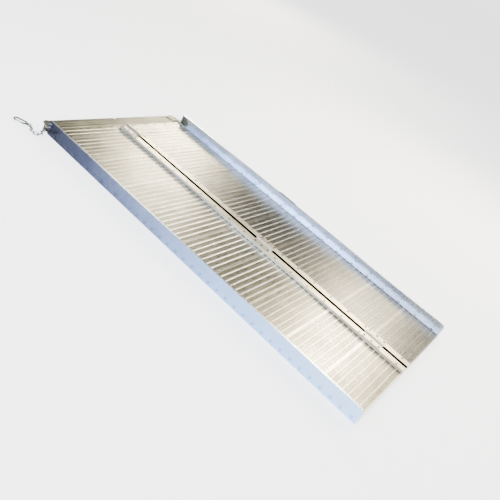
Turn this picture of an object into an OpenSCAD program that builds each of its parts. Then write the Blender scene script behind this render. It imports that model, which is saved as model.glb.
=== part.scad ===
// Folding loading ramp: two plank decks hinged along the middle, a bent lip at the top end,
// and a safety chain with a snap hook. Millimetres, +Z up, ramp lying open and flat.
// Origin: on the ground, on the fold line, at the bottom end. +Y runs up the ramp.

/* [Ramp] */
// Width over the outer faces of the two side rails
ramp_w = 762; // [620:2:900]
// Length of the side rails, from the bottom end to the bend of the lip
ramp_l = 1540; // [1530:1:1545]
// Height of the side rails
rail_h = 60; // [56:1:60]

/* [Deck] */
// Length of ramp that one deck plank covers
plank_pitch = 164; // [160:1:166]
// Height of the tread ribs' tops above the ground
deck_top = 21; // [20.5:0.5:21]
// Tread ribs on one plank
ribs_per_plank = 7; // [5:1:7]
// Height of a tread rib above the deck skin
rib_h = 1.6; // [1.2:0.1:1.8]

/* [Hinges] */
// Clear gap between the two centre beams
fold_gap = 16; // [15:0.5:18]
// Length of one hinge along the fold
hinge_l = 80; // [78:1:84]
// Radius of a hinge pin
hinge_pin_r = 2.5; // [2:0.1:2.8]

/* [Lip] */
// Length of the lip beyond the end of the rails
lip_l = 62; // [58:1:70]
// Slope of the lip below the deck, in degrees
lip_slope = 2; // [0:0.5:4]

/* [Chain] */
// Radius of the wire of a chain link
link_wire_r = 1.5; // [1.3:0.1:1.6]
// Length inside a chain link
link_in_l = 18; // [17:0.5:20]

/* [Hidden] */
$fn = 48;

left = -1;
right = 1;
half_w = ramp_w / 2;
slit = 0.1;
fit_gap = 0.05;
loose_gap = 0.1;

// Side rail section
web_t = 4;
flange_t = 2.5;
ledge_reach = 27;
bead_t = 7;
bead_h = 5;
rail_corner_r = 14;

// Centre beam section
beam_in = fold_gap / 2;
beam_w = 26;
beam_h = 33;
beam_web_t = 3;
strip_wall = 2.5;
toe_gap = 0.4;
strip_setback = 18;
undercut = 1.5;
shelf_reach = 34;

// Deck planks
skin_t = 1.8;
skin_top = deck_top - rib_h;
skin_low = skin_top - skin_t;
rib_base = 7;
rib_top = 3.4;
rib_pitch = plank_pitch / ribs_per_plank;
full_planks = floor(ramp_l / plank_pitch);
cut_l = ramp_l - full_planks * plank_pitch;
plank_in = beam_in + beam_web_t + 2;
plank_out = half_w - web_t - 2;
joint_gap = 0.4;
edge_rib = 5;
leg_t = 1.6;
foot_w = 12;
foot_t = 2;
port_r = 4.2;
port_z = 11;
ports_per_plank = 4;
port_pitch = plank_pitch / ports_per_plank;

// Fasteners
rivet_r = 2.4;
rivet_head_r = 5;
rivet_head_h = 1.4;
rivet_tail_r = 3.6;
rivet_tail_h = 2.5;
rivets_per_plank = 2;
rivet_pitch = plank_pitch / rivets_per_plank;
rivet_first = 34;
ledge_rivet_x = half_w - 21;
beam_rivet_x = beam_in + 18.5;
screw_r = 2.4;
screw_head_r = 6;
screw_head_h = 2.4;
screw_reach = 30;

// Hinges
hinge_ys = [146, 682, 1478];
leaf_t = 3;
leaf_end_x = 33.5;
axis_z = beam_h + leaf_t + 1.5;
barrel_r = 5.5;
knuckles = 5;
knuckle_gap = 0.4;
leaf_bolts = 3;
leaf_bolt_pitch = 32;
leaf_bolt_x = 24.5;
leaf_bolt_r = 2.5;
leaf_bolt_head_r = 4.5;
leaf_bolt_head_h = 2;
leaf_bolt_tail_h = 1.5;
barrel_relief = 0.9;
pin_head_h = 1.6;
pin_head_rim = 1.2;

// Lip: its tongue is under the deck skin, and its blade is cranked up to deck height
lip_t = 4;
lip_top = deck_top - 1;
tongue_top = skin_low - slit;
tongue_l = 30;
crank_gap = 8;
crank_l = 3.5;
lip_in_x = 3;
lip_out_x = half_w - 15;
lip_corner_r = 10;
notch_x = half_w - 57;
notch_w = 9;
notch_depth = 16;
groove_ys = [24, 40];
groove_w = 3.5;
groove_depth = 1.2;
lip_rivets = 5;
lip_rivet_in = 70;
lip_rivet_out = 60;

// Corner brackets: a foot on the rail's ledge, a leg up its inner face and an ear over the lip
ear_t = 3;
ear_in_x = half_w - 58;
ear_out_x = half_w - 2;
foot_in_x = half_w - 25;
ear_back = 44;
ear_land = 10;
ear_end = 62;
ear_taper = 14;
ear_corner = 12;
ear_hole_v = 26;
ear_hole_r = 3.5;
ear_hole_xs = [half_w - 42, half_w - 22];
ledge_top = deck_top + flange_t;
ear_leg_top = rail_h - bead_h - 0.5;
ear_bolt_y = ramp_l - 9;
ear_bolt_zs = [35, 49.5];
ear_leg_chamfer = 16;
ear_bolt_r = 3;
bolt_head_r = 5;
bolt_head_h = 3.5;
nut_af = 10;
nut_h = 4;
bolt_end = 2;
bolt_edge = 16;
pad_l = 8;
pad_w = 29;
pad_h = 13;
pad_gap = 0.4;

// Carry handle outside the right rail
handle_mid_y = 866;
handle_pitch = 101.6;
handle_z = 42;
handle_reach = 32;
handle_r = 5.5;
handle_foot_r = 9;
handle_foot_t = 3;
handle_bolt_r = 2.5;
handle_head_r = 5;
handle_head_h = 3.4;
handle_bend = 12;

// Safety chain: it lies on the ground beside the left rail
tab_y = ramp_l + 18;
tab_w = 18;
tab_t = 3;
tab_x = half_w - 9;
tab_foot = 21;
tab_top = 18.6;
tab_bite = 1;
anchor_bolt_l = 10;
eye_z = 6.6;
eye_r = 5.5;
eye_wire_r = 2;
eye_shank_r = 2.4;
link_bend_r = 5.2;
link_arm = link_in_l / 2 - link_bend_r + link_wire_r;
link_pitch = link_in_l - 1.6;
link_tilt = 45;
link_z = link_wire_r + link_bend_r * sin(link_tilt) + 0.1;
link_headings = [218, 232, 184, 134, 84, 62, 66];
links = len(link_headings);
eye_x = -tab_x - tab_t - eye_r - eye_wire_r - 0.5;
chain_start = [eye_x - eye_r + 1.7, tab_y];

// Snap hook at the end of the chain
hook_heading = 118;
hook_wire_r = 3;
hook_bend_r = 10;
hook_arm = 15;
hook_z = 6.6;
swivel_r = 5.5;
swivel_wire_r = 1.9;
swivel_pin_r = 2.2;
boss_r = 5.2;
boss_l = 7;
swivel_head_r = 3.5;
swivel_head_h = 2;
swivel_mid = 2.8;
boss_start = swivel_mid + swivel_r + swivel_wire_r + 0.6;
loop_mid = boss_start + boss_l - 1 + hook_bend_r + hook_arm;
gate_r = 2.6;
gate_l = 22;
gate_start = -11;
gate_end_gap = 0.2;
gate_pin_r = 1;
gate_pin_x = loop_mid + gate_start - 2.2;
gate_slot = [6, 3.9, 10];
gate_nose = 1.2;
gate_tang = [4, 2, 4.4];

// Places where the deck rivets sit along the ramp; the last ones stop short of the bracket
rivet_ys = [for (y = [rivet_first : rivet_pitch : ramp_l - ear_back - bolt_edge]) y];
// Those that go through the centre beam as well: the ones under a hinge are left out
beam_rivet_ys = [for (y = rivet_ys)
    if (min([for (h = hinge_ys) abs(y - h)]) > hinge_l / 2 + rivet_head_r) y];
deck_rivets = concat([for (y = rivet_ys) [ledge_rivet_x, y]], [for (y = beam_rivet_ys) [beam_rivet_x, y]]);
// Places where the side screws meet the planks' screw ports
port_ys = [for (y = [port_pitch / 2 : port_pitch : ramp_l - port_pitch / 2]) y];
lip_rivet_span = half_w - lip_rivet_in - lip_rivet_out;
lip_rivet_xs = [for (i = [0 : lip_rivets - 1]) lip_rivet_in + i * lip_rivet_span / (lip_rivets - 1)];
lip_rivet_y = ramp_l - 8.5;
handle_ys = [handle_mid_y - handle_pitch / 2, handle_mid_y + handle_pitch / 2];

// Points where each link of the chain meets the next, from the eye bolt on
function step(a) = link_pitch * [cos(a), sin(a)];
function joint_at(i) = i == 0 ? chain_start : joint_at(i - 1) + step(link_headings[i - 1]);

// ---- Helpers ----

// Builds its children on the right panel, or mirrors them to the left one
module panel(side) {
    if (side == left) mirror([1, 0, 0]) children();
    else children();
}

// Extrudes a section drawn in Y and Z across the ramp, from x0 to x1
module across(x0, x1) {
    translate([x0, 0, 0]) rotate([90, 0, 90]) linear_extrude(x1 - x0) children();
}

// Extrudes a section drawn in X and Z along the ramp, from y0 to y1
module along(y0, y1) {
    translate([0, y1, 0]) rotate([90, 0, 0]) linear_extrude(y1 - y0) children();
}

// Stands its children on the lip: Y runs down its slope, and Z is out of its top face
module on_lip() {
    translate([0, ramp_l, lip_top]) rotate([-lip_slope, 0, 0]) children();
}

module box(lo, hi) {
    translate(lo) cube(hi - lo);
}

module rivet(grip) {
    cylinder(r1 = rivet_head_r, r2 = rivet_head_r * 0.6, h = rivet_head_h);
    translate([0, 0, -grip - slit]) cylinder(r = rivet_r, h = grip + slit);
    translate([0, 0, -grip - rivet_tail_h - slit]) cylinder(r = rivet_tail_r, h = rivet_tail_h);
}

module hex_nut(bore_r) {
    difference() {
        cylinder(r = nut_af / sqrt(3), h = nut_h, $fn = 6);
        translate([0, 0, -1]) cylinder(r = bore_r, h = nut_h + 2);
    }
}

// A closed loop of wire: two arms joined by two round bends, along X
module wire_loop(arm, bend_r, wire_r) {
    for (s = [-1, 1]) {
        translate([-arm, s * bend_r, 0]) rotate([0, 90, 0]) cylinder(r = wire_r, h = 2 * arm);
        translate([s * arm, 0, 0]) rotate([0, 0, s * 90 - 180])
            rotate_extrude(angle = 180) translate([bend_r, 0]) circle(r = wire_r);
    }
}

module ring(r, wire_r) {
    rotate_extrude() translate([r, 0]) circle(r = wire_r);
}

// ---- Side rails ----

module rail_section() {
    translate([half_w - web_t, 0]) square([web_t, rail_h]);
    translate([half_w - bead_t, rail_h - bead_h]) square([bead_t, bead_h]);
    translate([half_w - ledge_reach, 0]) square([ledge_reach, flange_t]);
    translate([half_w - ledge_reach, deck_top]) square([ledge_reach, flange_t]);
}

// The waste beyond the rounded top corner at the bottom end
module rail_corner_waste() {
    across(half_w - 2 * bead_t, half_w + 1) difference() {
        translate([-1, rail_h - rail_corner_r]) square([rail_corner_r + 1, rail_corner_r + 1]);
        translate([rail_corner_r, rail_h - rail_corner_r]) circle(r = rail_corner_r);
    }
}

module rail(side) {
    color("lightsteelblue") panel(side) difference() {
        along(0, ramp_l) rail_section();
        rail_corner_waste();
        for (y = rivet_ys)
            translate([ledge_rivet_x, y, deck_top - 1]) cylinder(r = rivet_r + loose_gap, h = flange_t + 2);
        for (y = port_ys)
            translate([half_w - web_t - 1, y, port_z]) rotate([0, 90, 0])
                cylinder(r = screw_r + loose_gap, h = web_t + 2);
        for (z = ear_bolt_zs)
            translate([half_w - web_t - 1, ear_bolt_y, z]) rotate([0, 90, 0])
                cylinder(r = ear_bolt_r + loose_gap, h = web_t + 2);
        if (side == right) for (y = handle_ys)
            translate([half_w - web_t - 1, y, handle_z]) rotate([0, 90, 0])
                cylinder(r = handle_bolt_r + loose_gap, h = web_t + 2);
    }
}

module left_rail() { rail(left); }
module right_rail() { rail(right); }

// ---- Centre beams ----

module beam_section() {
    translate([beam_in, 0]) square([beam_web_t, beam_h]);
    translate([toe_gap, 0]) square([shelf_reach - toe_gap, flange_t]);
    difference() {
        union() {
            translate([beam_in, deck_top]) square([beam_w - undercut, beam_h - deck_top]);
            translate([beam_in, deck_top + undercut]) square([beam_w, beam_h - deck_top - undercut]);
        }
        translate([beam_in + beam_web_t, deck_top + strip_wall])
            square([beam_w - beam_web_t - strip_wall, beam_h - deck_top - 2 * strip_wall]);
    }
}

module beam(side) {
    color("ivory") panel(side) difference() {
        along(0, ramp_l) beam_section();
        box([toe_gap, ramp_l - strip_setback, deck_top], [beam_in + beam_w + 1, ramp_l + 1, beam_h + 1]);
        for (y = beam_rivet_ys)
            translate([beam_rivet_x, y, deck_top - 1]) cylinder(r = rivet_r + loose_gap, h = beam_h);
        for (y = hinge_ys, i = [-1, 0, 1])
            translate([leaf_bolt_x, y + i * leaf_bolt_pitch, beam_h - strip_wall - 1])
                cylinder(r = leaf_bolt_r + loose_gap, h = strip_wall + 2);
    }
}

module left_beam() { beam(left); }
module right_beam() { beam(right); }

// ---- Deck planks ----

module rib(y) {
    polygon([[y - rib_base / 2, skin_top - slit], [y + rib_base / 2, skin_top - slit],
        [y + rib_top / 2, deck_top], [y - rib_top / 2, deck_top]]);
}

module leg(y) {
    translate([y - leg_t / 2, flange_t + slit]) square([leg_t, skin_low - flange_t]);
    translate([y - foot_w / 2, flange_t + slit]) square([foot_w, foot_t]);
}

module plank_section(l) {
    difference() {
        union() {
            translate([0, skin_low]) square([l - joint_gap, skin_t]);
            translate([0, skin_top - slit]) square([edge_rib, rib_h + slit]);
            if (l == plank_pitch) {
                translate([l - joint_gap - edge_rib, skin_top - slit]) square([edge_rib, rib_h + slit]);
                translate([l - joint_gap - leg_t, flange_t + slit]) square([leg_t, skin_low - flange_t]);
            }
            translate([0, flange_t + slit]) square([leg_t, skin_low - flange_t]);
            for (i = [1 : ribs_per_plank - 1]) if (i * rib_pitch + rib_base < l) rib(i * rib_pitch);
            for (y = [port_pitch / 2 : port_pitch : l - 12]) {
                leg(y);
                translate([y, port_z]) circle(r = port_r);
            }
        }
        for (y = [port_pitch / 2 : port_pitch : l - 12])
            translate([y, port_z]) circle(r = screw_r + loose_gap);
    }
}

// One plank; n counts from 0 at the bottom end
module plank(side, n) {
    y0 = n * plank_pitch;
    l = n < full_planks ? plank_pitch : cut_l;
    color("silver") panel(side) difference() {
        translate([0, y0, 0]) across(plank_in, plank_out) plank_section(l);
        for (p = deck_rivets) if (p[1] > y0 && p[1] < y0 + l)
            translate([p[0], p[1], skin_low - 1]) cylinder(r = rivet_r + loose_gap, h = deck_top);
        if (n == full_planks) for (x = lip_rivet_xs)
            translate([x, lip_rivet_y, skin_low - 1]) cylinder(r = rivet_r + loose_gap, h = deck_top);
    }
}

module left_plank_1() { plank(left, 0); }
module left_plank_2() { plank(left, 1); }
module left_plank_3() { plank(left, 2); }
module left_plank_4() { plank(left, 3); }
module left_plank_5() { plank(left, 4); }
module left_plank_6() { plank(left, 5); }
module left_plank_7() { plank(left, 6); }
module left_plank_8() { plank(left, 7); }
module left_plank_9() { plank(left, 8); }
module left_plank_cut() { plank(left, full_planks); }
module right_plank_1() { plank(right, 0); }
module right_plank_2() { plank(right, 1); }
module right_plank_3() { plank(right, 2); }
module right_plank_4() { plank(right, 3); }
module right_plank_5() { plank(right, 4); }
module right_plank_6() { plank(right, 5); }
module right_plank_7() { plank(right, 6); }
module right_plank_8() { plank(right, 7); }
module right_plank_9() { plank(right, 8); }
module right_plank_cut() { plank(right, full_planks); }

// ---- Rivets and screws ----

module rivets(side) {
    color("dimgray") panel(side) {
        for (y = rivet_ys) translate([ledge_rivet_x, y, ledge_top]) rivet(ledge_top - skin_low);
        for (y = beam_rivet_ys) translate([beam_rivet_x, y, beam_h]) rivet(beam_h - skin_low);
        for (x = lip_rivet_xs) translate([x, lip_rivet_y, skin_top]) rivet(skin_top - tongue_top + lip_t);
    }
}

module left_rivets() { rivets(left); }
module right_rivets() { rivets(right); }

module side_screws(side) {
    color("whitesmoke") panel(side) for (y = port_ys) translate([half_w, y, port_z]) rotate([0, 90, 0]) {
        cylinder(r1 = screw_head_r, r2 = screw_head_r * 0.6, h = screw_head_h);
        translate([0, 0, -screw_reach]) cylinder(r = screw_r, h = screw_reach);
    }
}

module left_side_screws() { side_screws(left); }
module right_side_screws() { side_screws(right); }

// ---- Lip ----

// The blade's outline seen from above: rounded far corners and a notch beside the bracket
module blade_outline() {
    difference() {
        union() {
            translate([lip_in_x, crank_gap]) square([lip_out_x - lip_in_x, lip_l - lip_corner_r - crank_gap]);
            translate([lip_in_x + lip_corner_r, lip_l / 2])
                square([lip_out_x - lip_in_x - 2 * lip_corner_r, lip_l / 2]);
            for (x = [lip_in_x + lip_corner_r, lip_out_x - lip_corner_r])
                translate([x, lip_l - lip_corner_r]) circle(r = lip_corner_r);
        }
        polygon([[notch_x - notch_w / 2, lip_l + 1], [notch_x, lip_l - notch_depth],
            [notch_x + notch_w / 2, lip_l + 1]]);
        for (x = ear_hole_xs) translate([x, ear_hole_v]) circle(r = ear_hole_r);
    }
}

// The left lip's outer edge is cut back for the chain's anchor
module anchor_bite() {
    box([tab_x - tab_foot - tab_bite, ramp_l, 0], [half_w, tab_y + tab_w + tab_bite, deck_top]);
}

module lip(side) {
    color("darkgray") panel(side) {
        difference() {
            on_lip() translate([0, 0, -lip_t]) linear_extrude(lip_t) blade_outline();
            if (side == left) anchor_bite();
            on_lip() across(0, half_w) for (y = groove_ys)
                polygon([[y - groove_w / 2, 0.1], [y, -groove_depth], [y + groove_w / 2, 0.1]]);
        }
        difference() {
            across(plank_in + 1, lip_out_x - 16) polygon([
                [ramp_l - tongue_l, tongue_top - lip_t], [ramp_l + crank_gap, tongue_top - lip_t],
                [ramp_l + crank_gap + crank_l, lip_top - lip_t], [ramp_l + crank_gap + crank_l, lip_top - 0.5],
                [ramp_l + crank_gap - 1, lip_top - 0.5], [ramp_l + crank_gap - crank_l, tongue_top],
                [ramp_l - tongue_l, tongue_top]]);
            for (x = lip_rivet_xs)
                translate([x, lip_rivet_y, 0]) cylinder(r = rivet_r + loose_gap, h = deck_top);
        }
    }
}

module left_lip() { lip(left); }
module right_lip() { lip(right); }

// ---- Corner brackets ----

function lip_point(v, w) = [ramp_l + v * cos(lip_slope) + w * sin(lip_slope),
    lip_top - v * sin(lip_slope) + w * cos(lip_slope)];

// The strap of a bracket, from its foot on the ledge, down and out over the lip
module ear_section() {
    polygon([[ramp_l - ear_back, ledge_top], [ramp_l + 1, ledge_top],
        lip_point(ear_land, slit), lip_point(ear_end, slit),
        lip_point(ear_end, ear_t + slit), lip_point(ear_land, ear_t + slit),
        [ramp_l + 2, ledge_top + ear_t], [ramp_l - ear_back, ledge_top + ear_t]]);
}

// The strap's outline seen from above: as wide as the ledge, then widened and tapered over the lip
module ear_outline() {
    polygon([[foot_in_x, -ear_back - 1], [half_w - web_t - slit, -ear_back - 1],
        [half_w - web_t - slit, 0.5], [ear_out_x, 0.5], [ear_out_x, ear_end / 3],
        [ear_out_x - ear_taper, ear_end - ear_corner / 2], [ear_out_x - ear_taper - ear_corner, ear_end + 1],
        [ear_in_x + 2 * ear_corner, ear_end + 1], [ear_in_x, ear_end - ear_corner],
        [ear_in_x + ear_corner / 2, ear_land + 2], [foot_in_x, ear_land + 2]]);
}

module bracket(side) {
    leg_x = half_w - web_t - ear_t - slit;
    color("gainsboro") panel(side) difference() {
        union() {
            intersection() {
                across(ear_in_x - 1, half_w) ear_section();
                translate([0, ramp_l, 0]) linear_extrude(rail_h) ear_outline();
            }
            across(leg_x, leg_x + ear_t)
                polygon([[ramp_l - ear_back, ledge_top], [ramp_l, ledge_top], [ramp_l, ear_leg_top],
                    [ramp_l - ear_back + ear_leg_chamfer, ear_leg_top],
                    [ramp_l - ear_back, ear_leg_top - ear_leg_chamfer]]);
        }
        for (z = ear_bolt_zs)
            translate([leg_x - 1, ear_bolt_y, z]) rotate([0, 90, 0])
                cylinder(r = ear_bolt_r + loose_gap, h = ear_t + 2);
        on_lip() for (x = ear_hole_xs) translate([x, ear_hole_v, -1]) cylinder(r = ear_hole_r, h = ear_t + 2);
    }
}

module left_corner_bracket() { bracket(left); }
module right_corner_bracket() { bracket(right); }

// Bolt heads outside the rail, nuts inside the bracket
module bracket_bolts(side) {
    inner = half_w - web_t - ear_t - 2 * slit;
    color("slategray") panel(side) for (z = ear_bolt_zs) translate([0, ear_bolt_y, z]) rotate([0, 90, 0]) {
        translate([0, 0, half_w]) cylinder(r1 = bolt_head_r, r2 = bolt_head_r * 0.7, h = bolt_head_h);
        translate([0, 0, inner - nut_h - bolt_end])
            cylinder(r = ear_bolt_r, h = half_w - inner + nut_h + bolt_end);
        translate([0, 0, inner - nut_h]) hex_nut(ear_bolt_r);
    }
}

module left_bracket_bolts() {
    bracket_bolts(left);
    color("slategray") panel(left) on_lip() translate([ear_hole_xs[1], ear_hole_v, ear_t + 2 * slit]) {
        cylinder(r1 = bolt_head_r, r2 = bolt_head_r * 0.7, h = bolt_head_h);
        translate([0, 0, -anchor_bolt_l]) cylinder(r = ear_bolt_r, h = anchor_bolt_l);
    }
}
module right_bracket_bolts() { bracket_bolts(right); }

// ---- Rubber end pads, under the lip behind the rail's end ----

module end_pad(side) {
    color("black") panel(side)
        box([half_w - pad_w, ramp_l + pad_gap, pad_gap], [half_w - web_t, ramp_l + pad_l, pad_h]);
}

module left_end_pad() { end_pad(left); }
module right_end_pad() { end_pad(right); }

// ---- Hinges ----

// True for the knuckles that belong to the leaf on this side
function owns(side, k) = (k % 2 == 0) == (side == left);

module leaf(side, mid_y) {
    k_l = hinge_l / knuckles;
    color("wheat") panel(side) translate([0, mid_y - hinge_l / 2, 0]) difference() {
        union() {
            box([barrel_r + barrel_relief, 0, beam_h + slit], [leaf_end_x, hinge_l, beam_h + leaf_t]);
            for (k = [0 : knuckles - 1]) if (owns(side, k)) {
                box([0, k * k_l + knuckle_gap / 2, beam_h + slit],
                    [barrel_r + barrel_relief + 1, (k + 1) * k_l - knuckle_gap / 2, beam_h + leaf_t]);
                translate([0, (k + 1) * k_l - knuckle_gap / 2, axis_z]) rotate([90, 0, 0])
                    cylinder(r = barrel_r, h = k_l - knuckle_gap);
            }
        }
        translate([0, hinge_l + 1, axis_z]) rotate([90, 0, 0])
            cylinder(r = hinge_pin_r + fit_gap, h = hinge_l + 2);
        for (i = [-1, 0, 1]) translate([leaf_bolt_x, hinge_l / 2 + i * leaf_bolt_pitch, beam_h - 1])
            cylinder(r = leaf_bolt_r + loose_gap, h = leaf_t + 2);
    }
}

module bottom_hinge_left_leaf() { leaf(left, hinge_ys[0]); }
module middle_hinge_left_leaf() { leaf(left, hinge_ys[1]); }
module top_hinge_left_leaf() { leaf(left, hinge_ys[2]); }
module bottom_hinge_right_leaf() { leaf(right, hinge_ys[0]); }
module middle_hinge_right_leaf() { leaf(right, hinge_ys[1]); }
module top_hinge_right_leaf() { leaf(right, hinge_ys[2]); }

module hinge_pins() {
    color("lightgray") for (y = hinge_ys) translate([0, y + hinge_l / 2 + 1, axis_z]) rotate([90, 0, 0]) {
        cylinder(r = hinge_pin_r, h = hinge_l + 2);
        for (z = [-pin_head_h, hinge_l + 2])
            translate([0, 0, z]) cylinder(r = hinge_pin_r + pin_head_rim, h = pin_head_h);
    }
}

module hinge_bolts(side) {
    color("sienna") panel(side) for (y = hinge_ys, i = [-1, 0, 1])
        translate([leaf_bolt_x, y + i * leaf_bolt_pitch, beam_h + leaf_t]) {
            cylinder(r1 = leaf_bolt_head_r, r2 = leaf_bolt_head_r * 0.7, h = leaf_bolt_head_h);
            translate([0, 0, -leaf_t - strip_wall - slit])
                cylinder(r = leaf_bolt_r, h = leaf_t + strip_wall + slit);
            translate([0, 0, -leaf_t - strip_wall - slit - leaf_bolt_tail_h])
                cylinder(r = leaf_bolt_r + pin_head_rim, h = leaf_bolt_tail_h);
        }
}

module left_hinge_bolts() { hinge_bolts(left); }
module right_hinge_bolts() { hinge_bolts(right); }

// ---- Carry handle ----

module carry_handle() {
    color("black") translate([half_w, handle_mid_y, handle_z]) {
        for (s = [-1, 1]) {
            translate([0, s * handle_pitch / 2, 0]) rotate([0, 90, 0]) {
                cylinder(r = handle_foot_r, h = handle_foot_t);
                cylinder(r = handle_r, h = handle_reach - handle_bend);
            }
            translate([handle_reach - handle_bend, s * (handle_pitch / 2 - handle_bend), 0])
                rotate([0, 0, s > 0 ? 0 : -90])
                    rotate_extrude(angle = 90) translate([handle_bend, 0]) circle(r = handle_r);
            translate([-web_t - slit - handle_head_h, s * handle_pitch / 2, 0]) rotate([0, 90, 0]) {
                cylinder(r = handle_bolt_r, h = web_t + handle_head_h + 0.5);
                cylinder(r1 = handle_head_r * 0.7, r2 = handle_head_r, h = handle_head_h);
            }
        }
        translate([handle_reach, handle_pitch / 2 - handle_bend, 0]) rotate([90, 0, 0])
            cylinder(r = handle_r, h = handle_pitch - 2 * handle_bend);
    }
}

// ---- Safety chain ----

// A painted angle under the left lip: its foot is bolted to the lip, and the chain's eye to its leg
module chain_anchor() {
    color("black") panel(left) difference() {
        union() {
            box([tab_x, tab_y - tab_w / 2, 1], [tab_x + tab_t, tab_y + tab_w, tab_top]);
            box([tab_x - tab_foot, tab_y - tab_w / 2, tab_top - tab_t],
                [tab_x + tab_t, tab_y + tab_w, tab_top]);
        }
        translate([tab_x - 1, tab_y, eye_z]) rotate([0, 90, 0])
            cylinder(r = eye_shank_r + loose_gap, h = tab_t + 2);
        translate([ear_hole_xs[1], ramp_l + ear_hole_v, 0]) cylinder(r = ear_hole_r, h = rail_h);
    }
}

module chain_eye_bolt() {
    color("lightslategray") translate([0, tab_y, eye_z]) {
        translate([eye_x, 0, 0]) rotate([link_tilt, 0, 0]) ring(eye_r, eye_wire_r);
        translate([eye_x + eye_r, 0, 0]) rotate([0, 90, 0])
            cylinder(r = eye_shank_r, h = nut_h + 1 - tab_x - eye_x - eye_r);
        translate([-tab_x + slit, 0, 0]) rotate([0, 90, 0]) hex_nut(eye_shank_r);
    }
}

module chain_link(i) {
    p = (joint_at(i) + joint_at(i + 1)) / 2;
    color("lightslategray") translate([p[0], p[1], link_z]) rotate([0, 0, link_headings[i]])
        rotate([i % 2 == 0 ? link_tilt : -link_tilt, 0, 0]) wire_loop(link_arm, link_bend_r, link_wire_r);
}

module chain_link_1() { chain_link(0); }
module chain_link_2() { chain_link(1); }
module chain_link_3() { chain_link(2); }
module chain_link_4() { chain_link(3); }
module chain_link_5() { chain_link(4); }
module chain_link_6() { chain_link(5); }
module chain_link_7() { chain_link(6); }

// ---- Snap hook ----

// Stands its children at the end of the chain, with X along the hook, away from the chain
module at_hook(z) {
    p = joint_at(links);
    translate([p[0], p[1], z]) rotate([0, 0, hook_heading]) children();
}

module hook_swivel() {
    color("dimgray") at_hook(hook_z) {
        translate([swivel_mid, 0, 0]) rotate([-link_tilt, 0, 0]) ring(swivel_r, swivel_wire_r);
        translate([swivel_mid + swivel_r, 0, 0]) rotate([0, 90, 0])
            cylinder(r = swivel_pin_r, h = boss_start + boss_l + swivel_head_h - swivel_mid - swivel_r);
        translate([boss_start + boss_l + 0.4, 0, 0]) rotate([0, 90, 0])
            cylinder(r = swivel_head_r, h = swivel_head_h);
    }
}

// The hook's loop is open along one side, between gate_start and gate_start + gate_l
module hook_body() {
    mouth = gate_l + 6 * gate_end_gap;
    color("lightslategray") at_hook(hook_z) difference() {
        union() {
            difference() {
                translate([loop_mid, 0, 0]) wire_loop(hook_arm, hook_bend_r, hook_wire_r);
                translate([loop_mid + gate_start - 3 * gate_end_gap, hook_bend_r - boss_r, -boss_r])
                    cube([mouth, 2 * boss_r, 2 * boss_r]);
            }
            translate([boss_start, 0, 0]) rotate([0, 90, 0]) cylinder(r = boss_r, h = boss_l);
        }
        translate([boss_start - 1, 0, 0]) rotate([0, 90, 0])
            cylinder(r = swivel_pin_r + fit_gap, h = boss_l + 2);
        translate([boss_start + boss_l, 0, 0]) rotate([0, 90, 0])
            cylinder(r = swivel_head_r + 0.5, h = swivel_head_h + 1.2);
        translate([loop_mid + gate_start - 4, hook_bend_r - gate_slot[1] / 2, -gate_slot[2] / 2])
            cube(gate_slot);
        translate([gate_pin_x, hook_bend_r, -boss_r]) cylinder(r = gate_pin_r + fit_gap, h = 2 * boss_r);
    }
}

module hook_gate() {
    color("silver") at_hook(hook_z) difference() {
        union() {
            translate([loop_mid + gate_start + gate_end_gap, hook_bend_r, 0]) rotate([0, 90, 0]) {
                cylinder(r1 = gate_r - gate_nose, r2 = gate_r, h = gate_nose);
                translate([0, 0, gate_nose]) cylinder(r = gate_r, h = gate_l - gate_nose - 2 * gate_end_gap);
            }
            translate([gate_pin_x, hook_bend_r - gate_tang[1] / 2, -gate_tang[2] / 2]) cube(gate_tang);
        }
        translate([gate_pin_x, hook_bend_r, -boss_r]) cylinder(r = gate_pin_r + fit_gap, h = 2 * boss_r);
    }
}

module hook_gate_pin() {
    color("gray") at_hook(hook_z) translate([gate_pin_x, hook_bend_r, -hook_wire_r])
        cylinder(r = gate_pin_r, h = 2 * hook_wire_r);
}

left_rail();
right_rail();
left_beam();
right_beam();
left_plank_1();
left_plank_2();
left_plank_3();
left_plank_4();
left_plank_5();
left_plank_6();
left_plank_7();
left_plank_8();
left_plank_9();
left_plank_cut();
right_plank_1();
right_plank_2();
right_plank_3();
right_plank_4();
right_plank_5();
right_plank_6();
right_plank_7();
right_plank_8();
right_plank_9();
right_plank_cut();
left_rivets();
right_rivets();
left_side_screws();
right_side_screws();
left_lip();
right_lip();
left_corner_bracket();
right_corner_bracket();
left_bracket_bolts();
right_bracket_bolts();
left_end_pad();
right_end_pad();
bottom_hinge_left_leaf();
middle_hinge_left_leaf();
top_hinge_left_leaf();
bottom_hinge_right_leaf();
middle_hinge_right_leaf();
top_hinge_right_leaf();
hinge_pins();
left_hinge_bolts();
right_hinge_bolts();
carry_handle();
chain_anchor();
chain_eye_bolt();
chain_link_1();
chain_link_2();
chain_link_3();
chain_link_4();
chain_link_5();
chain_link_6();
chain_link_7();
hook_swivel();
hook_body();
hook_gate();
hook_gate_pin();
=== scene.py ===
# %% [markdown]
# # A folding loading ramp in bare aluminium
# The ramp arrives as a finished set of solids, already in place and in metres: rails, planks, beams,
# hinges, a lip and a chain. This script never moves them. It gives each one its metal, swaps the plain
# rivets and screws for detailed ones, and sets up a plain studio to look at the ramp in.

# %% Load the frame
import math

import bmesh
import bpy
from mathutils import Matrix, Vector


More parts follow.
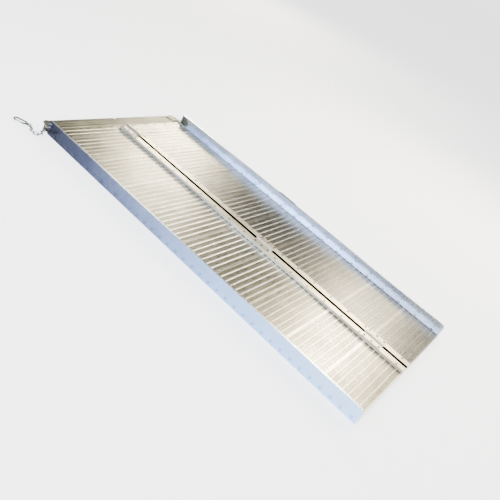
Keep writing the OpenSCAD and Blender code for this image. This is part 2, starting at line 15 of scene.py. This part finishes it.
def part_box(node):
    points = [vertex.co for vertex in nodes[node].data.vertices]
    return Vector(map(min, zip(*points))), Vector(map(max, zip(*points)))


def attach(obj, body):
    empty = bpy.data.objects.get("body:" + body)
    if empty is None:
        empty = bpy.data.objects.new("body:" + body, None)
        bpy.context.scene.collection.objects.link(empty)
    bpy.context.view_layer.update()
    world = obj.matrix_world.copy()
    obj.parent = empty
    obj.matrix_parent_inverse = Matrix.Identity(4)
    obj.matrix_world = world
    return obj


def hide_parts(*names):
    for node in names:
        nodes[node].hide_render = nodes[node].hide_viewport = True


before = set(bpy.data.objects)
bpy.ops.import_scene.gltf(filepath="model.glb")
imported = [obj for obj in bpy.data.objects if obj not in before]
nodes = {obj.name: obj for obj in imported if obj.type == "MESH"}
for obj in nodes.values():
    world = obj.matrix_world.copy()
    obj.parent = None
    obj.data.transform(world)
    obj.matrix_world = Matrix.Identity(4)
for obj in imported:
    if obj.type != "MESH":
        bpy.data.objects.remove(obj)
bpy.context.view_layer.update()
MM = 0.001

# %% [markdown]
# ## Camera
# The ramp is seen from over its left side, near the bottom end, with the camera rolled so that the
# right side climbs. A camera can be placed by a matrix of sixteen numbers, but a place, a target and a
# roll angle say the same and can be read. The lens is a normal one, 41 mm on a 36 mm sensor.

# %% Place the camera
CAMERA_PLACE = Vector((-1.7594, -0.0407, 1.1028))
CAMERA_TARGET = Vector((-0.0777, 0.6909, 0.020))
CAMERA_ROLL = math.radians(28.92)
LENS_MM = 41.04
SENSOR_MM = 36.0
NEAREST_SEEN = 10 * MM

camera_data = bpy.data.cameras.new("camera")
camera_data.lens = LENS_MM
camera_data.sensor_width = SENSOR_MM
camera_data.clip_start = NEAREST_SEEN
camera = bpy.data.objects.new("camera", camera_data)
bpy.context.scene.collection.objects.link(camera)
sight = (CAMERA_TARGET - CAMERA_PLACE).to_track_quat("-Z", "Y")
camera.matrix_world = (
    Matrix.Translation(CAMERA_PLACE) @ sight.to_matrix().to_4x4() @ Matrix.Rotation(CAMERA_ROLL, 4, "Z")
)
bpy.context.scene.camera = camera
print("camera to target:", round((CAMERA_TARGET - CAMERA_PLACE).length, 3), "m")

# %% [markdown]
# ## Small helpers
# Colours are written as sRGB hex, as a paint chart gives them. Shaders add up light, so they need linear
# values, and one function turns the one into the other. A second function adds a shader node with its
# settings, its colour stops where it has them, and its links. An input is given by its name, or by its
# number after an underscore where a node has several inputs of one name.


# %% Helpers for colours, shader nodes and materials
def linear(hex_colour):
    parts = [int(hex_colour[i:i + 2], 16) / 255 for i in (1, 3, 5)]
    return tuple(c / 12.92 if c <= 0.04045 else ((c + 0.055) / 1.055) ** 2.4 for c in parts) + (1.0,)


def add(tree, kind, settings=None, stops=(), **inputs):
    made = tree.nodes.new("ShaderNode" + kind)
    for name, value in (settings or {}).items():
        setattr(made, name, value)
    while stops and len(made.color_ramp.elements) < len(stops):
        made.color_ramp.elements.new(0.5)
    for number, (place, colour) in enumerate(stops):
        made.color_ramp.elements[number].position = place
        made.color_ramp.elements[number].color = linear(colour)
    for name, value in inputs.items():
        numbered = name[0] == "_"
        socket = made.inputs[int(name[1:]) if numbered else name.replace("_", " ")]
        if isinstance(value, bpy.types.NodeSocket):
            tree.links.new(value, socket)
        else:
            socket.default_value = value
    return made


def new_material(name):
    material = bpy.data.materials.new(name)
    material.use_nodes = True
    tree = material.node_tree
    return material, tree, tree.nodes["Principled BSDF"]


def dress(material, *names):
    for name in names:
        slots = nodes[name].data.materials
        slots.clear()
        slots.append(material)
    print(material.name, "on", len(names), "nodes")


# %% [markdown]
# ## Rubbed edges
# Edges that boots, straps and tyres rub against lose their dull skin first. A mask for them could come
# from the mesh's own curvature, but these solids have points only at their corners, so that would
# spread over whole faces. A Bevel node looks around each point instead, and where the rounded normal
# turns away from the flat one, there is an edge. The wear is drawn 0.8 mm wide, chosen so that it
# shows at this distance.

# %% A mask for rubbed edges
EDGE_WEAR = 0.8 * MM
EDGE_FLAT = 0.995
EDGE_TURNED = 0.90


def edge_mask(tree):
    rounded = add(tree, "Bevel", {"samples": 4}, Radius=EDGE_WEAR)
    flat = add(tree, "NewGeometry")
    same = add(tree, "VectorMath", {"operation": "DOT_PRODUCT"}, _0=rounded.outputs["Normal"],
               _1=flat.outputs["True Normal"])
    turned_away = add(tree, "MapRange", Value=same.outputs["Value"], From_Min=EDGE_FLAT,
                      From_Max=EDGE_TURNED)
    return turned_away.outputs["Result"]


print("edges are rubbed", EDGE_WEAR / MM, "mm wide")

# %% [markdown]
# ## Mill-finish aluminium
# The rails, planks and beams are aluminium extrusions left as they came out of the die. That gives a
# pale metal with a soft sheen, fine lines along the way it was pushed, and a cloudy oxide skin. So the
# metal is fully metallic, keeps the default IOR, and gets a roughness between 0.28 on the rails and
# 0.42 on the lip. The die's lines are a noise stretched a hundred times along the extrusion. Real die
# lines are too fine to show, so they are drawn coarser, at 1.6 mm. The oxide clouds are a hand wide,
# 120 mm, and the scuffs 9 mm.

# %% The aluminium recipe
DIE_LINE = 1.6 * MM
OXIDE_CLOUD = 120 * MM
SCUFF = 9 * MM
LINE_DEPTH = 0.2 * MM
SCUFF_DEPTH = 0.6 * MM
STRETCH = {"X": (0.01, 1, 1), "Y": (1, 0.01, 1)}
BRIGHT_EDGE = "#f4f2ec"


def mill_finish(name, dark, light, along, rough, wear=0.5, wear_and_painted_light=None):
    material, tree, shader = new_material(name)
    place = add(tree, "TexCoord").outputs["Object"]
    lines_at = add(tree, "Mapping", Vector=place, Scale=STRETCH[along]).outputs["Vector"]
    lines = add(tree, "TexNoise", Vector=lines_at, Scale=1 / DIE_LINE, Detail=3.0, Roughness=0.6)
    clouds = add(tree, "TexNoise", Vector=place, Scale=1 / OXIDE_CLOUD, Detail=6.0, Roughness=0.62)
    scuffs = add(tree, "TexNoise", Vector=place, Scale=1 / SCUFF, Detail=4.0, Roughness=0.7)

    tone = add(tree, "MixRGB", Fac=0.35, Color1=clouds.outputs["Fac"], Color2=lines.outputs["Fac"])
    colour = add(tree, "ValToRGB", stops=[(0.36, dark), (0.62, light)], Fac=tone.outputs["Color"])
    colour = colour.outputs["Color"]
    # this layer adds wear and painted light: painted reflection on the rails, painted highlight on the
    # ribs, painted shade in the beam gap
    if wear_and_painted_light:
        colour = wear_and_painted_light(tree, place, colour)
    worn = add(tree, "Math", {"operation": "MULTIPLY"}, _0=edge_mask(tree), _1=wear)
    colour = add(tree, "MixRGB", Fac=worn.outputs["Value"], Color1=colour, Color2=linear(BRIGHT_EDGE))
    tree.links.new(colour.outputs["Color"], shader.inputs["Base Color"])

    streaks = add(tree, "MapRange", Value=lines.outputs["Fac"], To_Min=rough - 0.07, To_Max=rough + 0.09)
    smudges = add(tree, "MapRange", Value=scuffs.outputs["Fac"], From_Min=0.35, From_Max=0.75,
                  To_Min=-0.05, To_Max=0.08)
    roughness = add(tree, "Math", {"operation": "ADD"}, _0=streaks.outputs["Result"],
                    _1=smudges.outputs["Result"])
    tree.links.new(roughness.outputs["Value"], shader.inputs["Roughness"])

    ridges = add(tree, "Bump", Strength=0.18, Distance=LINE_DEPTH, Height=lines.outputs["Fac"])
    dents = add(tree, "Bump", Strength=0.10, Distance=SCUFF_DEPTH, Height=scuffs.outputs["Fac"],
                Normal=ridges.outputs["Normal"])
    tree.links.new(dents.outputs["Normal"], shader.inputs["Normal"])
    shader.inputs["Metallic"].default_value = 1.0
    return material


print("die lines", round(DIE_LINE / MM, 1), "mm, clouds", round(OXIDE_CLOUD / MM), "mm")

# %% [markdown]
# ## Rails
# The rails' outer faces are light blue at the bottom end and turn to slate blue at the top end. Bare
# aluminium has no blue of its own, so most likely they mirror sky and something dark. Close above a
# pale studio floor they mirror mostly the floor. So the blues are a painted reflection, laid into the
# colour of the metal. This is a cheat, and it has a price: the blue stays on the rail from every side and
# in every pose, like paint. The outer faces are found by their normal, which points along X and away from
# the ramp's middle. A noise of 70 mm shifts the painted blend a little, so that it doesn't look ruled.

# %% Rail metal
RAIL_LENGTH = 1.6
REFLECTION_NOISE = 70 * MM
REFLECTION_DRIFT = 0.09
RAIL_REFLECTION_BLUES = [(0.05, "#a5c6ee"), (0.35, "#8aa6d2"), (0.60, "#62708f"), (0.80, "#343a50"), (0.97, "#1c1f2c")]


# painted reflection: the outer faces get blues that stand for mirrored sky and dark surroundings
def painted_blue_reflection(tree, place, metal):
    axes = add(tree, "SeparateXYZ", Vector=place)
    facing = add(tree, "SeparateXYZ", Vector=add(tree, "TexCoord").outputs["Normal"])
    outward = add(tree, "Math", {"operation": "MULTIPLY"}, _0=axes.outputs["X"], _1=facing.outputs["X"])
    mask = add(tree, "MapRange", Value=outward.outputs["Value"], From_Min=0.03, From_Max=0.12)
    along = add(tree, "Math", {"operation": "DIVIDE"}, _0=axes.outputs["Y"], _1=RAIL_LENGTH)
    reflection_noise = add(tree, "TexNoise", Vector=place, Scale=1 / REFLECTION_NOISE, Detail=5.0, Roughness=0.6)
    drift = add(tree, "MapRange", Value=reflection_noise.outputs["Fac"], To_Min=-REFLECTION_DRIFT, To_Max=REFLECTION_DRIFT)
    spot = add(tree, "Math", {"operation": "ADD"}, _0=along.outputs["Value"], _1=drift.outputs["Result"])
    blues = add(tree, "ValToRGB", stops=RAIL_REFLECTION_BLUES, Fac=spot.outputs["Value"])
    mixed = add(tree, "MixRGB", Fac=mask.outputs["Result"], Color1=metal, Color2=blues.outputs["Color"])
    return mixed.outputs["Color"]


rail_metal = mill_finish("mill_finish_extruded_aluminium_rails", "#bccae2", "#e2ebf9", "Y", rough=0.28,
                         wear_and_painted_light=painted_blue_reflection)
dress(rail_metal, "left_rail", "right_rail")

# %% [markdown]
# ## Planks
# Feet and tyres touch only the deck's ribs, so their tops are brighter than the grooves between: partly
# wear, partly a painted highlight. The ribs are found by their height alone, and the wear and highlight
# come in patches of about 45 mm. Two more things here are light, not metal. The bright ribs fade towards
# the top end and on the right panel, and the right panel's lower end is mixed with grey as a painted
# reflection. Both stand for a duller room than this one, mirrored there. As on the rails, they stay with
# the panel from every side.

# %% Plank metal
RIB_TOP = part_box("left_plank_1")[1][2]
WEAR_HIGHLIGHT_STARTS = 1.6 * MM
WEAR_HIGHLIGHT_FULL = 0.3 * MM
WEAR_HIGHLIGHT_PATCH = 45 * MM
MIDDLE = 0.02
LEFT_WEAR_HIGHLIGHT = 1.0
RIGHT_WEAR_HIGHLIGHT = 0.25
DULL_REFLECTION_SHARE = 0.6


# wear and painted highlight on the rib tops, painted reflection of a duller room on the right panel
def rib_wear_and_highlight(tree, place, metal):
    axes = add(tree, "SeparateXYZ", Vector=place)
    crest = add(tree, "MapRange", Value=axes.outputs["Z"], From_Min=RIB_TOP - WEAR_HIGHLIGHT_STARTS,
                From_Max=RIB_TOP - WEAR_HIGHLIGHT_FULL)
    patches = add(tree, "TexNoise", Vector=place, Scale=1 / WEAR_HIGHLIGHT_PATCH, Detail=4.0)
    patchy = add(tree, "MapRange", Value=patches.outputs["Fac"], From_Min=0.3, From_Max=0.6, To_Min=0.55)
    # painted highlight: the bright rib tops fade towards the top end and on the right panel
    highlight_fade_along = add(tree, "MapRange", Value=axes.outputs["Y"], From_Min=0.5, From_Max=1.5, To_Min=0.9,
               To_Max=0.35)
    side = add(tree, "MapRange", Value=axes.outputs["X"], From_Min=-MIDDLE, From_Max=MIDDLE,
               To_Min=LEFT_WEAR_HIGHLIGHT, To_Max=RIGHT_WEAR_HIGHLIGHT)
    rubbed = crest.outputs["Result"]
    for share in (patchy, highlight_fade_along, side):
        product = add(tree, "Math", {"operation": "MULTIPLY"}, _0=rubbed, _1=share.outputs["Result"])
        rubbed = product.outputs["Value"]
    right = add(tree, "MapRange", Value=axes.outputs["X"], From_Min=-MIDDLE, From_Max=MIDDLE)
    low_end = add(tree, "MapRange", Value=axes.outputs["Y"], From_Min=1.25, From_Max=0.85,
                  To_Max=DULL_REFLECTION_SHARE)
    dull = add(tree, "Math", {"operation": "MULTIPLY"}, _0=right.outputs["Result"],
               _1=low_end.outputs["Result"])
    # painted reflection: grey mixed into the right panel's lower end
    with_dull_reflection = add(tree, "MixRGB", Fac=dull.outputs["Value"], Color1=metal, Color2=linear("#5e6062"))
    # partly wear, partly painted highlight: the rib tops are brightened
    bright = add(tree, "MixRGB", Fac=rubbed, Color1=with_dull_reflection.outputs["Color"], Color2=linear("#f4f1e6"))
    return bright.outputs["Color"]


print("ribs end at", round(RIB_TOP / MM, 2), "mm")
plank_metal = mill_finish("mill_finish_extruded_aluminium_planks", "#7c7a6e", "#aba89b", "X", rough=0.30,
                          wear_and_painted_light=rib_wear_and_highlight)
dress(plank_metal, *[name for name in nodes if "plank" in name])

# %% [markdown]
# ## Beams
# The two beams stand side by side with a narrow gap between them, and the gap is the darkest line on
# the ramp. To keep it so above a glowing floor, the sides that face each other are drawn nearly black as
# painted shade. The shade is full within 9 mm of the middle and gone at 11 mm.

# %% Beam metal
GAP_SHADE_STARTS = 11 * MM
GAP_SHADE_FULL = 9 * MM


# painted shade: the sides facing into the gap are drawn near black
def painted_gap_shade(tree, place, metal):
    axes = add(tree, "SeparateXYZ", Vector=place)
    facing = add(tree, "SeparateXYZ", Vector=add(tree, "TexCoord").outputs["Normal"])
    sideways = add(tree, "Math", {"operation": "ABSOLUTE"}, _0=facing.outputs["X"])
    off_middle = add(tree, "Math", {"operation": "ABSOLUTE"}, _0=axes.outputs["X"])
    close = add(tree, "MapRange", Value=off_middle.outputs["Value"], From_Min=GAP_SHADE_STARTS,
                From_Max=GAP_SHADE_FULL)
    gap_shade = add(tree, "Math", {"operation": "MULTIPLY"}, _0=sideways.outputs["Value"],
                _1=close.outputs["Result"])
    mixed = add(tree, "MixRGB", Fac=gap_shade.outputs["Value"], Color1=metal, Color2=linear("#0d0e12"))
    return mixed.outputs["Color"]


beam_metal = mill_finish("mill_finish_extruded_aluminium_beams", "#cfc9b6", "#f1ecdc", "Y", rough=0.38,
                         wear_and_painted_light=painted_gap_shade)
dress(beam_metal, "left_beam", "right_beam")

# %% [markdown]
# ## Lip, brackets and side screws
# The lip and the corner brackets are aluminium plate, darker and rougher than the extrusions, with the
# same rubbed edges. The screws along the rails are taken to be zinc plated. They use the rails' recipe
# and its painted blue reflection, because on the rail's blue face they are only faint pale marks.

# %% Plate and screw metal
lip_metal = mill_finish("scuffed_aluminium_plate", "#5f5f54", "#8b8a7c", "X", rough=0.42)
dress(lip_metal, "left_lip", "right_lip", "left_corner_bracket", "right_corner_bracket")
# painted reflection: the screws carry the rails' painted blues
screw_zinc = mill_finish("side_screw_zinc", "#8f9cb8", "#c2cee4", "Y", rough=0.36, wear=0.1,
                         wear_and_painted_light=painted_blue_reflection)
dress(screw_zinc, "left_side_screws", "right_side_screws")

# %% [markdown]
# ## Plated steel
# Hinges, bolts, chain and hook are taken to be steel with a thin zinc coat. Such a coat is uneven, and
# its tone and shine drift from spot to spot, so one noise drives the colour, the roughness and a very
# low bump. Its 6 mm spots are coarser than real ones, so that they show. The roughness starts from 0.35
# and is higher where the metal is dull: the hinge bolts are brown, the chain dark. The rivets are dull
# aluminium, but look much the same at this size, so they share the recipe.

# %% The plated steel recipe and its uses
FLECK = 6 * MM
FLECK_DEPTH = 0.3 * MM


def plated_steel(name, dark, light, rough=0.35):
    material, tree, shader = new_material(name)
    place = add(tree, "TexCoord").outputs["Object"]
    flecks = add(tree, "TexNoise", Vector=place, Scale=1 / FLECK, Detail=5.0, Roughness=0.65)
    colour = add(tree, "ValToRGB", stops=[(0.35, dark), (0.65, light)], Fac=flecks.outputs["Fac"])
    tree.links.new(colour.outputs["Color"], shader.inputs["Base Color"])
    roughness = add(tree, "MapRange", Value=flecks.outputs["Fac"], To_Min=rough - 0.1, To_Max=rough + 0.15)
    tree.links.new(roughness.outputs["Result"], shader.inputs["Roughness"])
    bump = add(tree, "Bump", Strength=0.15, Distance=FLECK_DEPTH, Height=flecks.outputs["Fac"])
    tree.links.new(bump.outputs["Normal"], shader.inputs["Normal"])
    shader.inputs["Metallic"].default_value = 1.0
    return material


zinc = plated_steel("zinc_plated_steel", "#8f949c", "#c8ccd2")
hinge_steel = plated_steel("zinc_plated_hinge_steel", "#b9b2a0", "#e6e0d2")
bolt_steel = plated_steel("dull_brown_bolt_steel", "#2a231c", "#5c4d3f", rough=0.5)
dark_zinc = plated_steel("dark_zinc_plated_bolts", "#3c4358", "#7d869c", rough=0.4)
chain_metal = plated_steel("dull_zinc_plated_chain_steel", "#3d4140", "#6c706e", rough=0.42)
rivet_metal = plated_steel("dull_aluminium_rivets", "#55564f", "#8b8b84", rough=0.45)

dress(zinc, "hook_gate", "hook_gate_pin")
dress(hinge_steel, *[name for name in nodes if name.endswith("_leaf")], "hinge_pins")
dress(bolt_steel, "left_hinge_bolts", "right_hinge_bolts")
dress(dark_zinc, "left_bracket_bolts", "right_bracket_bolts")
dress(chain_metal, *[name for name in nodes if name.startswith("chain_link")], "chain_eye_bolt",
      "hook_swivel", "hook_body")
dress(rivet_metal, "left_rivets", "right_rivets")

# %% [markdown]
# ## Rubber, nylon and a black anchor
# None of these three shows bare metal, so they aren't metallic and keep the default IOR. Rubber is the
# most matt, moulded nylon has a fine grain from its mould, and paint is the smoothest. The black of the
# chain anchor is painted shade: it stands for the shade under the left lip's ear. The grains are 1.5, 0.8
# and 2 mm, coarse enough to show. The handle's solid holds its bolt heads as well. They are the part of it
# inside the rail's outer face, so a mask on X turns that part to bright metal.


# %% The moulded and painted surfaces
def moulded(name, dark, light, rough, grain):
    material, tree, shader = new_material(name)
    place = add(tree, "TexCoord").outputs["Object"]
    pits = add(tree, "TexNoise", Vector=place, Scale=1 / grain, Detail=3.0)
    colour = add(tree, "ValToRGB", stops=[(0.3, dark), (0.7, light)], Fac=pits.outputs["Fac"])
    tree.links.new(colour.outputs["Color"], shader.inputs["Base Color"])
    roughness = add(tree, "MapRange", Value=pits.outputs["Fac"], To_Min=rough - 0.1, To_Max=rough + 0.1)
    tree.links.new(roughness.outputs["Result"], shader.inputs["Roughness"])
    bump = add(tree, "Bump", Strength=0.3, Distance=0.2 * MM, Height=pits.outputs["Fac"])
    tree.links.new(bump.outputs["Normal"], shader.inputs["Normal"])
    return material


def bright_bolt_heads(material, wall):
    tree = material.node_tree
    shader = tree.nodes["Principled BSDF"]
    axes = add(tree, "SeparateXYZ", Vector=add(tree, "TexCoord").outputs["Object"])
    inside = add(tree, "MapRange", Value=axes.outputs["X"], From_Min=wall, From_Max=wall - 1 * MM)
    nylon = shader.inputs["Base Color"].links[0].from_socket
    colour = add(tree, "MixRGB", Fac=inside.outputs["Result"], Color1=nylon, Color2=linear("#eceef2"))
    tree.links.new(colour.outputs["Color"], shader.inputs["Base Color"])
    tree.links.new(inside.outputs["Result"], shader.inputs["Metallic"])


rubber = moulded("black_rubber", "#0b0b0b", "#1b1b1b", 0.8, 1.5 * MM)
plastic = moulded("moulded_black_nylon", "#101113", "#1d1e21", 0.55, 0.8 * MM)
bright_bolt_heads(plastic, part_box("right_rail")[1][0])
# painted shade: the anchor is drawn black for the shade under the lip's ear
anchor_shade_black = moulded("black_steel_as_painted_shade", "#0c0c0d", "#1d1e20", 0.45, 2.0 * MM)
dress(rubber, "left_end_pad", "right_end_pad")
dress(plastic, "carry_handle")
dress(anchor_shade_black, "chain_anchor")

# %% [markdown]
# ## Where the fasteners are
# The rivets and screws of one panel are a single solid with many separate bits. Each bit is an island
# in its mesh, once the doubled points along its edges are welded, and the island's box gives the place
# and the size. So nothing has to be measured twice. The box is read from a copy, and the solid itself
# stays as it is. The detailed fasteners go into one new piece, which stands in for the solid.

# %% Find the islands and set down a piece
WELD_GAP = 0.01 * MM


def islands(name):
    work = bmesh.new()
    work.from_mesh(nodes[name].data)
    bmesh.ops.remove_doubles(work, verts=work.verts, dist=WELD_GAP)
    unseen = set(work.verts)
    found = []
    while unseen:
        front = [unseen.pop()]
        island = list(front)
        while front:
            near = {vert for link in front.pop().link_edges for vert in link.verts} & unseen
            unseen -= near
            front.extend(near)
            island.extend(near)
        low = Vector([min(vert.co[k] for vert in island) for k in range(3)])
        high = Vector([max(vert.co[k] for vert in island) for k in range(3)])
        found.append((low, high))
    work.free()
    return sorted(found, key=lambda box: (round(box[0].y, 4), box[0].x))


def set_down(work, name, material):
    bmesh.ops.recalc_face_normals(work, faces=work.faces)
    mesh = bpy.data.meshes.new(name)
    work.to_mesh(mesh)
    work.free()
    mesh.materials.append(material)
    piece = bpy.data.objects.new(name, mesh)
    bpy.context.scene.collection.objects.link(piece)
    print(name, "has", len(mesh.polygons), "faces")
    return piece


print("rivets on the left panel:", len(islands("left_rivets")))

# %% [markdown]
# ## Blind rivets
# A blind rivet is set from one side. A dome stays on top, the stub of its mandrel sits in a hole in the
# middle of the dome, and the shank swells into a tail below. It is round about its axis, so half of its
# outline, turned, makes the whole: from the foot of the tail, up the shank, over the dome and down into
# the hole. Heights are counted from the face that the head sits on.

# %% Turn the rivets
RIVET_SIDES = 24
RIVET_HEAD = 1.4 * MM
RIVET_SHANK = 2.3 * MM
RIVET_TAIL = 3.6 * MM


def rivet_profile(head_r, foot):
    return [
        (0, foot), (RIVET_TAIL * 0.6, foot), (RIVET_TAIL, foot + 0.9 * MM),
        (RIVET_TAIL * 0.9, foot + 1.9 * MM), (RIVET_SHANK, foot + 2.4 * MM), (RIVET_SHANK, 0),
        (head_r, 0), (head_r, RIVET_HEAD * 0.25), (head_r * 0.93, RIVET_HEAD * 0.5),
        (head_r * 0.72, RIVET_HEAD * 0.82), (head_r * 0.45, RIVET_HEAD),
        (head_r * 0.36, RIVET_HEAD * 0.97), (head_r * 0.34, RIVET_HEAD * 0.45), (0, RIVET_HEAD * 0.5),
    ]


def turned(work, centre, profile):
    turns = [2 * math.pi * k / RIVET_SIDES for k in range(RIVET_SIDES)]
    rings = []
    for radius, height in profile:
        spokes = turns if radius else [0]
        rings.append([work.verts.new(centre + Vector((radius * math.cos(a), radius * math.sin(a), height)))
                      for a in spokes])
    for lower, upper in zip(rings, rings[1:]):
        for k in range(RIVET_SIDES):
            j = (k + 1) % RIVET_SIDES
            corners = [lower[k % len(lower)], lower[j % len(lower)], upper[j % len(upper)],
                       upper[k % len(upper)]]
            face = work.faces.new(list(dict.fromkeys(corners)))
            face.smooth = True


def blind_rivets(side):
    solid = side + "_rivets"
    work = bmesh.new()
    for low, high in islands(solid):
        seat = high.z - RIVET_HEAD
        centre = Vector(((low.x + high.x) / 2, (low.y + high.y) / 2, seat))
        turned(work, centre, rivet_profile((high.x - low.x) / 2, low.z - seat))
    piece = set_down(work, side + "_blind_rivets", rivet_metal)
    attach(piece, side + "_panel")
    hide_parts(solid)


blind_rivets("left")
blind_rivets("right")

# %% [markdown]
# ## Screws along the rails
# The planks are held by screws through the rail's outer wall, taken to be cross-head ones. Each head is
# a low dome made of rings, and the cross is made by lowering the points of the inner rings that fall
# inside its four arms, which is how a punch does it. Each arm is three points wide.

# %% Press the screw heads
SCREW_SIDES = 32
ARMS = 4
ARM_PITCH = SCREW_SIDES // ARMS
ARM_HALF_WIDTH = 1
SHANK_SHARE = 0.42
HEAD_RINGS = (1.0, 0.93, 0.78, 0.62, 0.56, 0.45, 0.30, 0.16)
CROSS_REACH = 0.55
HUB_REACH = 0.2
CROSS_FLOOR = 0.21
DOME_FALL = 0.45


def head_height(share, k):
    off_arm = abs((k + ARM_PITCH // 2) % ARM_PITCH - ARM_PITCH // 2)
    in_arm = share < CROSS_REACH and off_arm <= ARM_HALF_WIDTH
    pressed = in_arm or share < HUB_REACH
    return (1 - DOME_FALL * share * share) * (CROSS_FLOOR if pressed else 1.0)


def cross_screw(work, low, high, wall, outward):
    centre = Vector((wall, (low.y + high.y) / 2, (low.z + high.z) / 2))
    head_r = (high.y - low.y) / 2
    tip, top = (low.x, high.x) if outward > 0 else (high.x, low.x)
    shank_r = SHANK_SHARE * head_r
    rings = [[(radius, depth)] * SCREW_SIDES
             for radius, depth in ((shank_r, tip - wall), (shank_r, 0.0), (head_r, 0.0))]
    for share in HEAD_RINGS:
        rings.append([(share * head_r, (top - wall) * head_height(share, k)) for k in range(SCREW_SIDES)])
    turns = [2 * math.pi * k / SCREW_SIDES for k in range(SCREW_SIDES)]
    grid = [[work.verts.new(centre + Vector((depth, radius * math.cos(a), radius * math.sin(a))))
             for a, (radius, depth) in zip(turns, ring)] for ring in rings]
    work.faces.new(grid[0])
    work.faces.new(grid[-1])
    for lower, upper in zip(grid, grid[1:]):
        for k in range(SCREW_SIDES):
            j = (k + 1) % SCREW_SIDES
            work.faces.new([lower[k], lower[j], upper[j], upper[k]])


def cross_screws(side):
    solid = side + "_side_screws"
    outward = -1 if side == "left" else 1
    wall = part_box(side + "_rail")[0 if outward < 0 else 1][0]
    work = bmesh.new()
    for low, high in islands(solid):
        cross_screw(work, low, high, wall, outward)
    piece = set_down(work, side + "_cross_screws", screw_zinc)
    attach(piece, side + "_panel")
    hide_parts(solid)


cross_screws("left")
cross_screws("right")

# %% [markdown]
# ## Floor and far wall
# The floor is a plain matt sheet. Lamps strong enough to bring it near white would flood the ramp, so
# it gives off light of its own. Seen from low down it would end in a dark sky, so a white ring stands
# far out around it. Reflections, bounced light and shadows leave the ring out, so the metal keeps its
# contrast.


# %% Floor, far wall and world
def sheet(name, points, faces, paint):
    mesh = bpy.data.meshes.new(name)
    mesh.from_pydata(points, [], faces)
    mesh.materials.append(paint)
    made = bpy.data.objects.new(name, mesh)
    bpy.context.scene.collection.objects.link(made)
    return made


def glowing(name, base, rough, glow):
    paint, _, shader = new_material(name)
    shader.inputs["Base Color"].default_value = linear(base)
    shader.inputs["Roughness"].default_value = rough
    shader.inputs["Emission Color"].default_value = linear("#ffffff")
    shader.inputs["Emission Strength"].default_value = glow
    return paint


FLOOR_HALF = 60.0
WALL_SIDES = 48
WALL_RADIUS = 58.0
WALL_FOOT = -0.5
WALL_TOP = 30.0

floor_paint = glowing("matt_white_studio_floor", "#fbfbfb", 0.95, 2.4)
floor_paint.node_tree.nodes["Principled BSDF"].inputs["Specular IOR Level"].default_value = 0.1
floor_corners = [(-1, -1), (1, -1), (1, 1), (-1, 1)]
floor = sheet("floor", [(x * FLOOR_HALF, y * FLOOR_HALF, 0) for x, y in floor_corners], [(0, 1, 2, 3)],
              floor_paint)

wall_turns = [2 * math.pi * k / WALL_SIDES for k in range(WALL_SIDES)]
wall_points = [(WALL_RADIUS * math.cos(a), WALL_RADIUS * math.sin(a), z)
               for z in (WALL_FOOT, WALL_TOP) for a in wall_turns]
wall_faces = [(k, (k + 1) % WALL_SIDES, WALL_SIDES + (k + 1) % WALL_SIDES, WALL_SIDES + k)
              for k in range(WALL_SIDES)]
far_wall = sheet("far_wall", wall_points, wall_faces, glowing("glowing_white_wall", "#202020", 1.0, 2.6))
far_wall.visible_glossy = False
far_wall.visible_diffuse = False
far_wall.visible_shadow = False

world = bpy.data.worlds.new("studio")
bpy.context.scene.world = world
world.use_nodes = True
background = world.node_tree.nodes["Background"]
background.inputs["Color"].default_value = linear("#dfe4ec")
background.inputs["Strength"].default_value = 0.24
print("floor", 2 * FLOOR_HALF, "m wide, wall", WALL_RADIUS, "m out")

# %% [markdown]
# ## Lamps
# Bare metal has hardly any colour of its own: it shows the room. So the room is planned from the metal.
# The lamp that lights everything stands behind the camera, where the flat deck can't mirror it into
# view. Two warm cards stand where a ray from the camera goes after it bounces off the far end of the
# right deck and the lower end of the left deck. A third is there for the near slopes of the ribs, and a
# pale blue one on the left brightens the inner face of the right rail.


# %% Set up the lamps
def soft_light(name, place, target, size, watts, colour):
    lamp = bpy.data.lights.new(name, "AREA")
    lamp.shape = "RECTANGLE"
    lamp.size, lamp.size_y = size
    lamp.energy = watts
    lamp.color = linear(colour)[:3]
    holder = bpy.data.objects.new(name, lamp)
    holder.location = place
    holder.rotation_euler = (Vector(target) - Vector(place)).to_track_quat("-Z", "Y").to_euler()
    bpy.context.scene.collection.objects.link(holder)
    print(name, watts, "W")


soft_light("ceiling_behind_camera", (-3.0, 0.2, 4.2), (0.3, 1.0, 0), (4.0, 4.0), 400, "#ffffff")
soft_light("card_far_right", (4.1, 4.3, 2.1), (0.2, 1.1, 0), (1.1, 1.1), 150, "#fff3d6")
soft_light("card_near_left", (2.1, 0.6, 2.0), (-0.25, 0.3, 0), (0.6, 1.5), 90, "#fff0cf")
soft_light("card_for_ribs", (2.35, -1.0, 1.6), (-0.2, 0.5, 0), (0.8, 1.0), 60, "#fffaf0")
soft_light("blue_card_left", (-2.9, 2.2, 2.0), (0.3, 0.9, 0), (2.0, 1.6), 130, "#c8dcff")

# %% [markdown]
# ## End

# %% Finish
print("finished")
